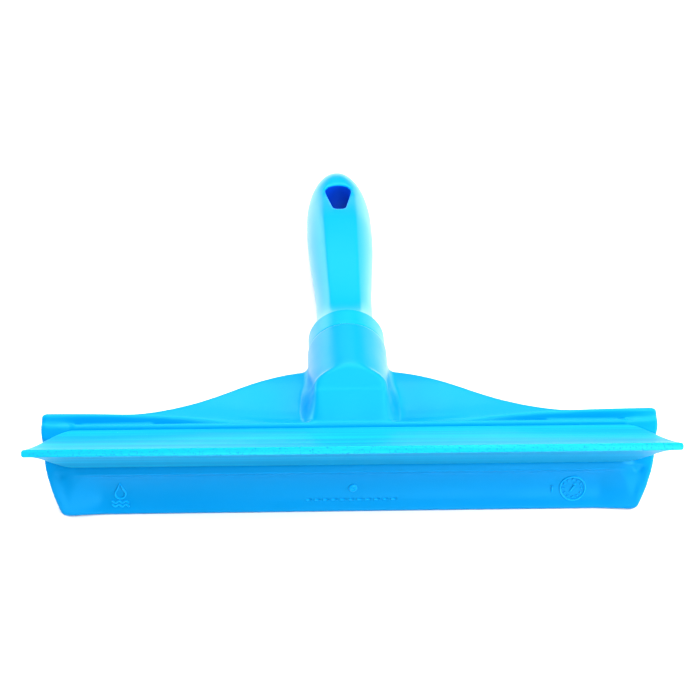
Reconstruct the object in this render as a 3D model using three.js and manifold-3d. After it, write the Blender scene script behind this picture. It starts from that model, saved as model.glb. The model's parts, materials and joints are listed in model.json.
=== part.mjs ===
// Table squeegee with a short screw-in handle, in millimetres, +Z up.
//
// Everything is drawn in the tool's own plane first: X along the blade, Y from the wiping
// edge towards the handle's end, Z = 0 on the handle's axis. The finished tool is then
// laid down as it lies on a table, on the skirt's free edge and the handle's underside.
import * as THREE from 'three';
import { mergeVertices } from 'three/addons/utils/BufferGeometryUtils.js';
import Module from 'manifold-3d';

const wasm = await Module();
wasm.setup();

// ---- driving dimensions -------------------------------------------------------------

const GAP = 0.3; // between pieces that rest on each other

// Blade: a soft strip, thick at the rail and thin at its wiping edge.
const BLADE_LENGTH = 245;
const BLADE_END_FLARE = 16.5; // each end is this much shorter at the rail
const BLADE_REACH = 28;
const BLADE_ROOT_THICKNESS = 16;
const LIP_THICKNESS = 2.9;
const BLADE_PITCH = THREE.MathUtils.degToRad(36); // up from the handle's axis
const BLADE_TAPER_POWER = 1.9;
const BLADE_FLARE_POWER = 0.6;
const FLEX_LINE = 12; // from the rail's face to the line where the strip bends
const FLEX_OPENING = THREE.MathUtils.degToRad(28); // free swing each way at the line

// Rail: the corner of the head that carries the blade.
const RAIL_Y = 22.7;
const RAIL_Z = -6.4;
const LEDGE_WIDTH = 2.7; // rail face left bare under the blade
const LEDGE_STEP = 1.2; // how far the ledge stands out from the skirt
const RAIL_BACKING = 3.4;

// Plates of the head.
const HEAD_WIDTH = BLADE_LENGTH - 7;
const HEAD_FOOT_TAPER = 6.8; // each end draws in by this much towards the skirt's free edge
const PLATE_CORNER_RADIUS = 2.5;
const SKIRT_DROP = 17.2; // from the ledge's lower edge to the free edge
const SKIRT_LEAN = THREE.MathUtils.degToRad(17);
const SKIRT_THICKNESS = 2.8;
const WING_THICKNESS = 3;
const WING_DEPTH = 35; // at the neck
const WING_END_DEPTH = 5.5;
const WING_END_RISE = 3.5;
const WING_SWEEP_START = 12; // half width over which the wing keeps its full depth
const WING_SHALLOW_LENGTH = 32; // at each end, where it keeps its end depth

// Neck block and socket.
const SOCKET_RADIUS = 16;
const SOCKET_MOUTH_Y = 73;
const SOCKET_ROUND_LENGTH = 27.5; // from the mouth to where the section is a rounded square
const NECK_SQUARENESS = 3.4; // power of the rounded square; 2 is a circle
const NECK_CLEAR_OF_FACE = 1.3; // its front end starts this far behind the rail's middle
const BORE_END_CLEARANCE = 2.5; // past the spigot's tip

// Collar ring.
const COLLAR_RADIUS = SOCKET_RADIUS - 0.5;
const COLLAR_LENGTH = 10;
const COLLAR_EDGE = 0.6;

// Handle.
const SPIGOT_RADIUS = 10.2;
const SPIGOT_NECK_RADIUS = SPIGOT_RADIUS - 1.2;
const SPIGOT_LENGTH = 25.5; // engaged in the socket
const SPIGOT_CHAMFER = 1.5;
const GRIP_LENGTH = 127;
const GRIP_NECK_HALF_WIDTH = 11.6;
const GRIP_BELLY_HALF_WIDTH = 14.4;
const GRIP_NECK_HALF_HEIGHT = 11.2;
const GRIP_BELLY_HALF_HEIGHT = 13;
const GRIP_END_HALF_HEIGHT = 9.8; // where its tip starts to round over
const GRIP_FLARE_LENGTH = 17;
const GRIP_FLARE_POWER = 2.4;
const GRIP_BELLY_AT = 76; // from the collar to the widest place
const GRIP_NOSE_LENGTH = 44; // over which its sides close
const GRIP_TIP_LENGTH = 20; // over which its upper and lower faces close
const GRIP_CLOSE_POWER = 2.3;
const STRIP_NECK_HALF_WIDTH = 5.9;
const STRIP_END_HALF_WIDTH = 7.4;
const STRIP_LOWEST = 0.6; // of the grip's half height, where the sides close past the strip

// Hanging hole, a rounded wedge that widens towards the handle's end.
const HOLE_FROM_END = 19.5;
const HOLE_LENGTH = 23.5;
const HOLE_WIDE_HALF_WIDTH = 5.8;
const HOLE_NARROW_HALF_WIDTH = 2.6;
const HOLE_CROWN = 5; // height of the arc at the wide end

// Fineness of the curved surfaces.
const ROUND_STEPS = 48;
const ARC_STEPS = 8;
const WING_STATIONS = 41;
const GRIP_STATIONS = 36;
const NECK_STATIONS = 15;
const FLARE_STATIONS = 15;

// ---- finishes -----------------------------------------------------------------------

const headFinish = new THREE.MeshStandardMaterial({ color: 0x18a8f2, roughness: 0.34, metalness: 0 });
const bladeFinish = new THREE.MeshStandardMaterial({ color: 0x36d4ee, roughness: 0.55, metalness: 0 });
const handleFinish = new THREE.MeshStandardMaterial({ color: 0x30ccf4, roughness: 0.32, metalness: 0 });

// ---- solids -------------------------------------------------------------------------

/** Closed three.js geometry to a manifold solid. */
function toSolid(geometry) {
  const bare = geometry.index ? geometry.toNonIndexed() : geometry.clone();
  bare.deleteAttribute('normal');
  bare.deleteAttribute('uv');
  const welded = mergeVertices(bare, 1e-5);
  const mesh = new wasm.Mesh({
    numProp: 3,
    vertProperties: new Float32Array(welded.attributes.position.array),
    triVerts: new Uint32Array(welded.index.array),
  });
  mesh.merge();
  return new wasm.Manifold(mesh);
}

/** Manifold solid back to three.js geometry. */
function toGeometry(solid) {
  const { vertProperties, triVerts } = solid.getMesh();
  const geometry = new THREE.BufferGeometry();
  geometry.setAttribute('position', new THREE.BufferAttribute(new Float32Array(vertProperties), 3));
  geometry.setIndex(new THREE.BufferAttribute(new Uint32Array(triVerts), 1));
  const flat = geometry.toNonIndexed();
  flat.computeVertexNormals();
  return flat;
}

/** Straight prism on an outline in (u, v), from `low` to `high` along the third axis of `axes`. */
function prism(outline, low, high, axes) {
  const shape = new THREE.Shape(outline.map(([u, v]) => new THREE.Vector2(u, v)));
  const geometry = new THREE.ExtrudeGeometry(shape, { depth: high - low, bevelEnabled: false });
  geometry.translate(0, 0, low);
  geometry.applyMatrix4(axes);
  return toSolid(geometry);
}

const ACROSS_X = new THREE.Matrix4().makeBasis(
  new THREE.Vector3(0, 1, 0), new THREE.Vector3(0, 0, 1), new THREE.Vector3(1, 0, 0));
const ACROSS_Y = new THREE.Matrix4().makeBasis(
  new THREE.Vector3(1, 0, 0), new THREE.Vector3(0, 0, 1), new THREE.Vector3(0, -1, 0));
const ACROSS_Z = new THREE.Matrix4();

/** Skin over a row of rings with equal point counts; the two end rings are closed flat. */
function loft(rings) {
  const count = rings[0].length;
  const positions = rings.flat().flatMap((p) => [p.x, p.y, p.z]);
  const faces = [];
  for (let r = 0; r < rings.length - 1; r += 1) {
    for (let i = 0; i < count; i += 1) {
      const j = (i + 1) % count;
      const a = r * count + i;
      const b = r * count + j;
      faces.push([a, b, b + count], [a, b + count, a + count]);
    }
  }
  for (let i = 1; i < count - 1; i += 1) {
    const last = (rings.length - 1) * count;
    faces.push([0, i + 1, i], [last, last + i, last + i + 1]);
  }
  const geometry = new THREE.BufferGeometry();
  geometry.setAttribute('position', new THREE.Float32BufferAttribute(positions, 3));
  const outward = signedVolume(positions, faces) > 0 ? faces : faces.map(([a, b, c]) => [a, c, b]);
  geometry.setIndex(outward.flat());
  return toSolid(geometry);
}

/** Six times the volume inside a triangle list, negative when it is inside out. */
function signedVolume(positions, faces) {
  const corner = (i) => new THREE.Vector3().fromArray(positions, i * 3);
  return faces.reduce((sum, [a, b, c]) => sum + corner(a).dot(corner(b).cross(corner(c))), 0);
}

/** Points of an arc, both ends included, angles in radians. */
function arc(cu, cv, radius, from, to, steps = ARC_STEPS) {
  return Array.from({ length: steps + 1 }, (_, i) => {
    const angle = from + ((to - from) * i) / steps;
    return [cu + radius * Math.cos(angle), cv + radius * Math.sin(angle)];
  });
}

/** Solid of revolution about the handle's axis, from (radius, y) points on one side of it. */
function turned(profile) {
  const geometry = new THREE.LatheGeometry(profile.map(([r, y]) => new THREE.Vector2(r, y)), ROUND_STEPS);
  return toSolid(geometry);
}

const smooth = (t) => t * t * (3 - 2 * t);
const clamp01 = (t) => Math.min(Math.max(t, 0), 1);
const mix = (a, b, t) => a + (b - a) * t;

// ---- blade --------------------------------------------------------------------------

const alongBlade = [-Math.cos(BLADE_PITCH), Math.sin(BLADE_PITCH)]; // rail to wiping edge
const upBlade = [Math.sin(BLADE_PITCH), Math.cos(BLADE_PITCH)]; // out of its upper side

/** Point of the tool plane at `s` along the blade from the rail's face and `t` above its middle. */
function bladePoint(s, t) {
  return [
    RAIL_Y + s * alongBlade[0] + t * upBlade[0],
    RAIL_Z + s * alongBlade[1] + t * upBlade[1],
  ];
}

/** Half thickness of the strip at `s` along it. */
function bladeHalfThickness(s) {
  const left = 1 - s / BLADE_REACH;
  return mix(LIP_THICKNESS, BLADE_ROOT_THICKNESS, left ** BLADE_TAPER_POWER) / 2;
}

/** Half length of the strip at `s` along it: its ends flare out towards the wiping edge. */
function bladeHalfLength(s) {
  return BLADE_LENGTH / 2 - BLADE_END_FLARE * (1 - (s / BLADE_REACH) ** BLADE_FLARE_POWER);
}

/** Cut a blade profile, given in (s, t), to the strip's flared plan. */
function bladeSolid(profile) {
  const outline = profile.map(([s, t]) => bladePoint(s, t));
  const strip = prism(outline, -BLADE_LENGTH / 2, BLADE_LENGTH / 2, ACROSS_X);
  const side = Array.from({ length: FLARE_STATIONS }, (_, i) => (
    BLADE_REACH * (i / (FLARE_STATIONS - 1)) ** 2));
  const plan = [
    ...side.map((s) => [bladeHalfLength(s), s]),
    ...side.reverse().map((s) => [-bladeHalfLength(s), s]),
  ];
  const across = new THREE.Vector3(1, 0, 0);
  const along = new THREE.Vector3(0, ...alongBlade);
  const planAxes = new THREE.Matrix4().makeBasis(across, along, across.clone().cross(along));
  planAxes.setPosition(0, RAIL_Y, RAIL_Z);
  return strip.intersect(prism(plan, -BLADE_ROOT_THICKNESS, BLADE_ROOT_THICKNESS, planAxes));
}

/** The strip's flank from one place along it to another, on the upper (+1) or lower (-1) side. */
function flank(from, to, side) {
  return Array.from({ length: ARC_STEPS + 1 }, (_, i) => {
    const s = mix(from, to, i / ARC_STEPS);
    return [s, side * bladeHalfThickness(s)];
  });
}

const noseRadius = bladeHalfThickness(FLEX_LINE);

/** Moulded foot of the blade on the rail, with the hollow that the lip turns in. */
function bladeRoot() {
  const cove = noseRadius + GAP;
  const reach = Math.PI / 2 - FLEX_OPENING;
  const hollow = arc(FLEX_LINE, 0, cove, Math.PI - reach, Math.PI + reach, 2 * ARC_STEPS);
  const shoulder = FLEX_LINE - cove * Math.cos(reach) - noseRadius * Math.sin(FLEX_OPENING);
  return bladeSolid([
    ...flank(shoulder, GAP, 1),
    ...flank(GAP, shoulder, -1),
    ...hollow.reverse(),
  ]);
}

/** Free part of the blade, with the wiping edge; it turns on the strip's bending line. */
function bladeLip() {
  const nose = arc(FLEX_LINE, 0, noseRadius, Math.PI / 2, (3 * Math.PI) / 2, 2 * ARC_STEPS);
  return bladeSolid([
    ...nose,
    ...flank(FLEX_LINE, BLADE_REACH, -1).slice(1),
    ...flank(BLADE_REACH, FLEX_LINE, 1).slice(0, -1),
  ]);
}

// ---- head ---------------------------------------------------------------------------

const railTop = bladePoint(0, BLADE_ROOT_THICKNESS / 2);
const ledgeFoot = bladePoint(0, -BLADE_ROOT_THICKNESS / 2 - LEDGE_WIDTH);
const downSkirt = [-Math.sin(SKIRT_LEAN), -Math.cos(SKIRT_LEAN)];
const backSkirt = [Math.cos(SKIRT_LEAN), -Math.sin(SKIRT_LEAN)];

/** Point `down` the skirt from the ledge's lower edge and `back` from the ledge's line. */
function skirtPoint(down, back) {
  return [
    ledgeFoot[0] + down * downSkirt[0] + back * backSkirt[0],
    ledgeFoot[1] + down * downSkirt[1] + back * backSkirt[1],
  ];
}

/** Rail and skirt, one section all along the head. */
function railAndSkirt() {
  const round = SKIRT_THICKNESS / 2;
  const [edgeY, edgeZ] = skirtPoint(SKIRT_DROP - round, LEDGE_STEP + round);
  const lean = -SKIRT_LEAN;
  return prism([
    railTop,
    ledgeFoot,
    skirtPoint(LEDGE_STEP / 2, LEDGE_STEP),
    ...arc(edgeY, edgeZ, round, Math.PI + lean, 2 * Math.PI + lean),
    skirtPoint(RAIL_BACKING, LEDGE_STEP + SKIRT_THICKNESS),
    skirtPoint(-RAIL_BACKING, LEDGE_STEP + SKIRT_THICKNESS + RAIL_BACKING / 2),
    [railTop[0] + RAIL_BACKING, railTop[1] - WING_THICKNESS - RAIL_BACKING],
    [railTop[0] + 2 * RAIL_BACKING, railTop[1] - WING_THICKNESS],
    [railTop[0] + 2 * RAIL_BACKING, railTop[1] - WING_THICKNESS / 2],
  ], -HEAD_WIDTH / 2, HEAD_WIDTH / 2, ACROSS_X);
}

/** How far a station has gone from the wing's deep middle (0) to its shallow end (1). */
function sweep(x) {
  const end = HEAD_WIDTH / 2 - WING_SHALLOW_LENGTH;
  return smooth(clamp01((Math.abs(x) - WING_SWEEP_START) / (end - WING_SWEEP_START)));
}

/** Ring round the wing's plate at one place along the head. */
function wingRing(x) {
  const depth = mix(WING_DEPTH, WING_END_DEPTH, sweep(x));
  const rise = WING_END_RISE * smooth(clamp01((Math.abs(x) / HEAD_WIDTH) * 2));
  const round = WING_THICKNESS / 2;
  const top = Array.from({ length: ARC_STEPS + 1 }, (_, i) => {
    const t = i / ARC_STEPS;
    return [railTop[0] + depth * t, railTop[1] + rise * (1 - (1 - t) ** 2) - round];
  });
  const [endY, endZ] = top[ARC_STEPS];
  const outline = [
    ...top.map(([y, z]) => [y, z + round]),
    ...arc(endY, endZ, round, Math.PI / 2, -Math.PI / 2).slice(1, -1),
    ...top.reverse().map(([y, z]) => [y, z - round]),
  ];
  return outline.map(([y, z]) => new THREE.Vector3(x, y, z));
}

/** The wing behind the blade, deepest at the neck. */
function wing() {
  const half = HEAD_WIDTH / 2;
  const stations = Array.from({ length: WING_STATIONS }, (_, i) => mix(-half, half, i / (WING_STATIONS - 1)));
  return loft(stations.map(wingRing));
}

/** Outline of the head seen from the front, which trims the ends of its plates. */
function frontOutline() {
  const foot = skirtPoint(SKIRT_DROP, LEDGE_STEP)[1] - 1;
  const top = railTop[1] + WING_END_RISE;
  const footHalf = HEAD_WIDTH / 2 - HEAD_FOOT_TAPER;
  const r = PLATE_CORNER_RADIUS;
  const edge = new THREE.QuadraticBezierCurve(
    new THREE.Vector2(HEAD_WIDTH / 2, top - r),
    new THREE.Vector2(HEAD_WIDTH / 2, ledgeFoot[1]),
    new THREE.Vector2(footHalf, foot + r));
  const right = [
    ...arc(HEAD_WIDTH / 2 - r, top - r, r, Math.PI / 2, 0),
    ...edge.getPoints(12).slice(1).map((p) => [p.x, p.y]),
    [footHalf - r / 2, foot],
  ];
  return [...right, ...right.map(([x, z]) => [-x, z]).reverse()];
}

/** Rounded section of the neck at `y`, from a rounded square at the blade to a circle. */
function neckRing(y) {
  const t = smooth(1 - clamp01((SOCKET_MOUTH_Y - y) / SOCKET_ROUND_LENGTH));
  const halfWidth = mix(COLLAR_RADIUS, SOCKET_RADIUS, t);
  const power = 2 / mix(NECK_SQUARENESS, 2, t);
  return Array.from({ length: ROUND_STEPS }, (_, i) => {
    const angle = (2 * Math.PI * i) / ROUND_STEPS;
    const c = Math.cos(angle);
    const s = Math.sin(angle);
    return new THREE.Vector3(
      halfWidth * Math.sign(c) * Math.abs(c) ** power, y,
      SOCKET_RADIUS * Math.sign(s) * Math.abs(s) ** power);
  });
}

/** Neck block and socket in one, with the sloping face from the socket's crown to the rail. */
function neck() {
  const front = RAIL_Y + NECK_CLEAR_OF_FACE;
  const stations = Array.from({ length: NECK_STATIONS }, (_, i) => (
    mix(front, SOCKET_MOUTH_Y, i / (NECK_STATIONS - 1))));
  const block = loft(stations.map(neckRing));
  const run = SOCKET_MOUTH_Y - SOCKET_ROUND_LENGTH - railTop[0];
  const rise = SOCKET_RADIUS - railTop[1];
  const cut = prism([
    [railTop[0] - run, railTop[1] - rise],
    [railTop[0] + 2 * run, railTop[1] + 2 * rise],
    [railTop[0] - run, railTop[1] + 2 * rise],
  ], -HEAD_WIDTH / 2, HEAD_WIDTH / 2, ACROSS_X);
  const ahead = prism([
    railTop,
    bladePoint(0, -BLADE_LENGTH / 2),
    bladePoint(BLADE_REACH, -BLADE_LENGTH / 2),
    bladePoint(BLADE_REACH, BLADE_ROOT_THICKNESS / 2),
  ], -HEAD_WIDTH / 2, HEAD_WIDTH / 2, ACROSS_X);
  return block.subtract(cut).subtract(ahead);
}

/** Bore of the socket, with a shallow cone at its bottom. */
function socketBore() {
  const radius = SPIGOT_RADIUS + GAP;
  const bottom = SOCKET_MOUTH_Y - SPIGOT_LENGTH - BORE_END_CLEARANCE;
  return turned([
    [0, bottom - 1],
    [radius - 1, bottom],
    [radius, bottom + 1],
    [radius, SOCKET_MOUTH_Y + 1],
    [0, SOCKET_MOUTH_Y + 1],
  ]);
}

/** The whole moulded head. */
function squeegeeHead() {
  const trim = prism(frontOutline(), -SOCKET_MOUTH_Y - 1, 0, ACROSS_Y);
  return railAndSkirt().add(wing()).intersect(trim).add(neck()).subtract(socketBore());
}

// ---- collar and handle --------------------------------------------------------------

const collarStart = SOCKET_MOUTH_Y + GAP;
const collarEnd = collarStart + COLLAR_LENGTH;
const gripStart = collarEnd + GAP;
const gripEnd = gripStart + GRIP_LENGTH;

/** Ring clamped between the socket's mouth and the handle's shoulder. */
function collarRing() {
  const inner = SPIGOT_NECK_RADIUS + GAP;
  return turned([
    [inner, collarStart],
    [COLLAR_RADIUS - COLLAR_EDGE, collarStart],
    [COLLAR_RADIUS, collarStart + COLLAR_EDGE],
    [COLLAR_RADIUS, collarEnd - COLLAR_EDGE],
    [COLLAR_RADIUS - COLLAR_EDGE, collarEnd],
    [inner, collarEnd],
    [inner, collarStart],
  ]);
}

/** Factor that closes the grip over the last `length` of it, `y` from the collar. */
function closing(y, length) {
  const t = clamp01((y - (GRIP_LENGTH - length)) / length);
  return Math.sqrt(Math.max(1 - t ** GRIP_CLOSE_POWER, 0));
}

/** Half width and half height of the grip, `y` from the collar. */
function gripHalves(y) {
  const flare = (1 - clamp01(y / GRIP_FLARE_LENGTH)) ** GRIP_FLARE_POWER;
  const swell = smooth(clamp01((y - GRIP_FLARE_LENGTH) / (GRIP_BELLY_AT - GRIP_FLARE_LENGTH)));
  const thin = smooth(clamp01((y - GRIP_BELLY_AT) / (GRIP_LENGTH - GRIP_TIP_LENGTH - GRIP_BELLY_AT)));
  const shoulder = COLLAR_RADIUS - COLLAR_EDGE;
  const width = mix(GRIP_NECK_HALF_WIDTH, GRIP_BELLY_HALF_WIDTH, swell);
  const height = mix(mix(GRIP_NECK_HALF_HEIGHT, GRIP_BELLY_HALF_HEIGHT, swell), GRIP_END_HALF_HEIGHT, thin);
  return {
    width: mix(width, shoulder, flare) * closing(y, GRIP_NOSE_LENGTH),
    height: mix(height, shoulder, flare) * closing(y, GRIP_TIP_LENGTH),
  };
}

/** Height of the flat strips on the grip's upper and lower side, `y` from the collar. */
function stripHeight(y) {
  const { width, height } = gripHalves(y);
  const half = mix(STRIP_NECK_HALF_WIDTH, STRIP_END_HALF_WIDTH, y / GRIP_LENGTH);
  return height * Math.max(Math.sqrt(1 - (half / Math.max(width, half)) ** 2), STRIP_LOWEST);
}

/** Oval section of the grip with its two flat strips, `y` from the collar. */
function gripRing(y) {
  const { width, height } = gripHalves(y);
  const flat = stripHeight(y);
  return Array.from({ length: ROUND_STEPS }, (_, i) => {
    const angle = (2 * Math.PI * (i + 0.5)) / ROUND_STEPS;
    const z = THREE.MathUtils.clamp(height * Math.sin(angle), -flat, flat);
    return new THREE.Vector3(width * Math.cos(angle), gripStart + y, z);
  });
}

/** Outline of the hanging hole in plan. */
function holeOutline() {
  const top = gripEnd - HOLE_FROM_END;
  const low = top - HOLE_LENGTH;
  const crown = new THREE.QuadraticBezierCurve(
    new THREE.Vector2(HOLE_WIDE_HALF_WIDTH, top - HOLE_CROWN),
    new THREE.Vector2(0, top + HOLE_CROWN),
    new THREE.Vector2(-HOLE_WIDE_HALF_WIDTH, top - HOLE_CROWN));
  return [
    [-HOLE_NARROW_HALF_WIDTH, low + 1],
    [-HOLE_NARROW_HALF_WIDTH + 1, low],
    [HOLE_NARROW_HALF_WIDTH - 1, low],
    [HOLE_NARROW_HALF_WIDTH, low + 1],
    ...crown.getPoints(2 * ARC_STEPS).map((p) => [p.x, p.y]),
  ];
}

/** Short handle: grip, neck of the spigot in the collar, and the spigot in the socket. */
function miniHandle() {
  const last = GRIP_LENGTH * (1 - 1e-3);
  const stations = Array.from({ length: GRIP_STATIONS }, (_, i) => {
    const t = i / (GRIP_STATIONS - 1);
    return last * (t < 0.5 ? t : 1 - 2 * (1 - t) ** 2);
  });
  const grip = loft(stations.map(gripRing));
  const tip = SOCKET_MOUTH_Y - SPIGOT_LENGTH;
  const spigot = turned([
    [0, tip],
    [SPIGOT_RADIUS - SPIGOT_CHAMFER, tip],
    [SPIGOT_RADIUS, tip + SPIGOT_CHAMFER],
    [SPIGOT_RADIUS, SOCKET_MOUTH_Y - SPIGOT_CHAMFER],
    [SPIGOT_NECK_RADIUS, SOCKET_MOUTH_Y],
    [SPIGOT_NECK_RADIUS, gripStart + 1],
    [0, gripStart + 1],
  ]);
  const hole = prism(holeOutline(), -2 * SOCKET_RADIUS, 2 * SOCKET_RADIUS, ACROSS_Z);
  return grip.subtract(hole).add(spigot);
}

// ---- the tool as it lies ------------------------------------------------------------

/** Angle by which the tool leans back until the handle's underside meets the table. */
function restTilt() {
  const [edgeY, edgeZ] = skirtPoint(SKIRT_DROP, LEDGE_STEP + SKIRT_THICKNESS / 2);
  const slopes = Array.from({ length: 2 * GRIP_STATIONS }, (_, i) => {
    const y = (GRIP_LENGTH * i) / (2 * GRIP_STATIONS);
    return Math.atan2(-stripHeight(y) - edgeZ, gripStart + y - edgeY);
  });
  return Math.min(...slopes);
}

const tool = new THREE.Group();
const pieces = [
  ['squeegee_head', squeegeeHead(), headFinish],
  ['blade_root', bladeRoot(), bladeFinish],
  ['blade_lip', bladeLip(), bladeFinish],
  ['collar_ring', collarRing(), handleFinish],
  ['mini_handle', miniHandle(), handleFinish],
];
for (const [name, solid, finish] of pieces) {
  const mesh = new THREE.Mesh(toGeometry(solid), finish);
  mesh.name = name;
  tool.add(mesh);
}
tool.rotation.x = -restTilt();

const group = new THREE.Group();
group.add(tool);
group.updateMatrixWorld(true);
const box = new THREE.Box3().setFromObject(group, true);
tool.position.set(0, -(box.min.y + box.max.y) / 2, -box.min.z);
group.updateMatrixWorld(true);

export default group;
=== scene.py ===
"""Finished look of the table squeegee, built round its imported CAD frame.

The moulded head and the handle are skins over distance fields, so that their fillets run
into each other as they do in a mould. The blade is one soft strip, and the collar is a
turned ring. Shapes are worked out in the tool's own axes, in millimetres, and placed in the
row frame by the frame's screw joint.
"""

from __future__ import annotations

import json
import logging
import math
from dataclasses import dataclass, field
from enum import Enum
from typing import Callable, Sequence

import bpy
import numpy as np
from mathutils import Matrix, Vector


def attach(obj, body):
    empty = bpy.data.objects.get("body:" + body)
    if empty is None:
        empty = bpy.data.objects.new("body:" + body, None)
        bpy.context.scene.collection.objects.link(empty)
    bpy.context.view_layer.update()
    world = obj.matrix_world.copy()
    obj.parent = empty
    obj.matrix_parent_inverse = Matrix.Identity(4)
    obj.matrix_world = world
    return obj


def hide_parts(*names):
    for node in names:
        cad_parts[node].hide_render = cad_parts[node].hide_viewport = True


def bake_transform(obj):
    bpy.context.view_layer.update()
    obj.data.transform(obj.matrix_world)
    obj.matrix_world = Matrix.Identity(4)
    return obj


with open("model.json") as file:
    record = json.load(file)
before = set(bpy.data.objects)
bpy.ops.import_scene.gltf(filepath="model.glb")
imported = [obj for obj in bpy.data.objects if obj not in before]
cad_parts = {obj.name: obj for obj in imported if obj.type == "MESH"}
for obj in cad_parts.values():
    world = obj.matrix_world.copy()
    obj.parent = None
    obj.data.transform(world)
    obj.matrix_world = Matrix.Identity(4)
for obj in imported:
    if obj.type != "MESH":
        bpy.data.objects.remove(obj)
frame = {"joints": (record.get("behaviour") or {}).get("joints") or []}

LOG = logging.getLogger("table_squeegee")
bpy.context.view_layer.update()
MM = 0.001
Array = np.ndarray


class Slot(Enum):
    """Material slots of the record."""

    HEAD = "head_plastic"
    BLADE = "blade_rubber"
    HANDLE = "handle_plastic"


# ---- numbers on fields ---------------------------------------------------------------


def ramp(value: Array, low: float, high: float) -> Array:
    """Smooth step from 0 at low to 1 at high.

    Args:
        value: where to read the step.
        low: place where the step starts.
        high: place where the step ends; it may be below low.

    Returns:
        The step, between 0 and 1.
    """
    t = np.clip((value - low) / (high - low), 0.0, 1.0)
    return t * t * (3.0 - 2.0 * t)


def mix(a: Array | float, b: Array | float, t: Array | float) -> Array | float:
    """Value that goes from a to b as t goes from 0 to 1."""
    return a + (b - a) * t


def join(a: Array, b: Array, fillet: Array | float) -> Array:
    """Union of two distance fields with a fillet between them.

    Args:
        a: first field, negative inside.
        b: second field.
        fillet: how far the fillet reaches.

    Returns:
        The joined field.
    """
    h = np.clip(0.5 + 0.5 * (b - a) / fillet, 0.0, 1.0)
    return b + (a - b) * h - fillet * h * (1.0 - h)


def cut(a: Array, b: Array, rounding: Array | float) -> Array:
    """Part of a that is also inside b, its new edge rounded.

    Args:
        a: field to be cut.
        b: field that is kept, negative inside.
        rounding: reach of the rounded edge.

    Returns:
        The cut field.
    """
    return -join(-a, -b, rounding)


def round_box(gaps: Sequence[Array], radius: float) -> Array:
    """Field of a box-like body from its distances beyond each pair of faces.

    Args:
        gaps: one distance field for each direction, negative between the faces.
        radius: edge radius.

    Returns:
        The field of the body with rounded edges.
    """
    grown = [gap + radius for gap in gaps]
    outside = np.sqrt(sum(np.maximum(g, 0.0) ** 2 for g in grown))
    inside = np.minimum(np.maximum.reduce(grown), 0.0)
    return outside + inside - radius


# ---- frame ---------------------------------------------------------------------------


@dataclass(frozen=True)
class ToolAxes:
    """The tool's own axes: X along the blade, Y along the handle, Z = 0 on its axis.

    Attributes:
        origin: tool origin in the row frame, in metres.
        along: unit vector along the handle, away from the blade.
    """

    origin: Vector
    along: Vector

    @classmethod
    def from_frame(cls, grip_start: float) -> ToolAxes:
        """Reads the axes off the frame's screw joint.

        Args:
            grip_start: tool Y of the joint's point, in millimetres.

        Returns:
            The tool's axes.
        """
        joint = next(j for j in frame["joints"] if j["name"] == "handle_screw")
        along = Vector(joint["axis"]).normalized()
        return cls(Vector(joint["pos_m"]) - along * grip_start * MM, along)

    @property
    def up(self) -> Vector:
        """Unit vector out of the tool's upper side."""
        return Vector((1.0, 0.0, 0.0)).cross(self.along)

    def place(self, points: Array) -> Array:
        """Tool points in millimetres as row-frame points in metres."""
        basis = np.array([(1.0, 0.0, 0.0), tuple(self.along), tuple(self.up)])
        return points @ basis * MM + np.array(self.origin)

    def point(self, x: float, y: float, z: float) -> Vector:
        """One tool point in millimetres as a row-frame point in metres."""
        return Vector(self.place(np.array([[x, y, z]]))[0])


@dataclass(frozen=True)
class BladeLine:
    """Where the blade stands on the head, in the tool's Y and Z.

    Attributes:
        rail_y: middle of the rail's face.
        rail_z: middle of the rail's face.
        pitch: how far the blade points up from the handle's axis, in radians.
        reach: from the rail's face to the wiping edge.
        root: thickness at the rail.
        lip: thickness at the wiping edge.
        ledge: width of the rail's face left bare under the blade.
    """

    rail_y: float = 22.7
    rail_z: float = -6.4
    pitch: float = math.radians(36.0)
    reach: float = 28.0
    root: float = 16.0
    lip: float = 2.9
    ledge: float = 2.7

    @property
    def out(self) -> tuple[float, float]:
        """Direction from the rail to the wiping edge."""
        return -math.cos(self.pitch), math.sin(self.pitch)

    @property
    def top(self) -> tuple[float, float]:
        """Direction out of the blade's upper side."""
        return math.sin(self.pitch), math.cos(self.pitch)

    def point(self, s: float, t: float) -> tuple[float, float]:
        """Tool Y and Z of the point s along the blade and t above its middle."""
        return (
            self.rail_y + s * self.out[0] + t * self.top[0],
            self.rail_z + s * self.out[1] + t * self.top[1],
        )

    def read(self, y: Array, z: Array) -> tuple[Array, Array]:
        """How far along (s) and above (t) the blade's middle each point lies."""
        dy, dz = y - self.rail_y, z - self.rail_z
        return dy * self.out[0] + dz * self.out[1], dy * self.top[0] + dz * self.top[1]


# ---- meshes --------------------------------------------------------------------------


def new_object(name: str, points: Array, faces: Sequence[Sequence[int]]) -> bpy.types.Object:
    """Smooth-shaded object from row-frame points and faces.

    Args:
        name: the object's name.
        points: one row per point, in metres.
        faces: corner indices of each face.

    Returns:
        The new object, linked to the scene.
    """
    mesh = bpy.data.meshes.new(name)
    mesh.from_pydata(points.tolist(), [], [list(map(int, f)) for f in faces])
    mesh.validate()
    mesh.shade_smooth()
    made = bpy.data.objects.new(name, mesh)
    bpy.context.scene.collection.objects.link(made)
    return made


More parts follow.
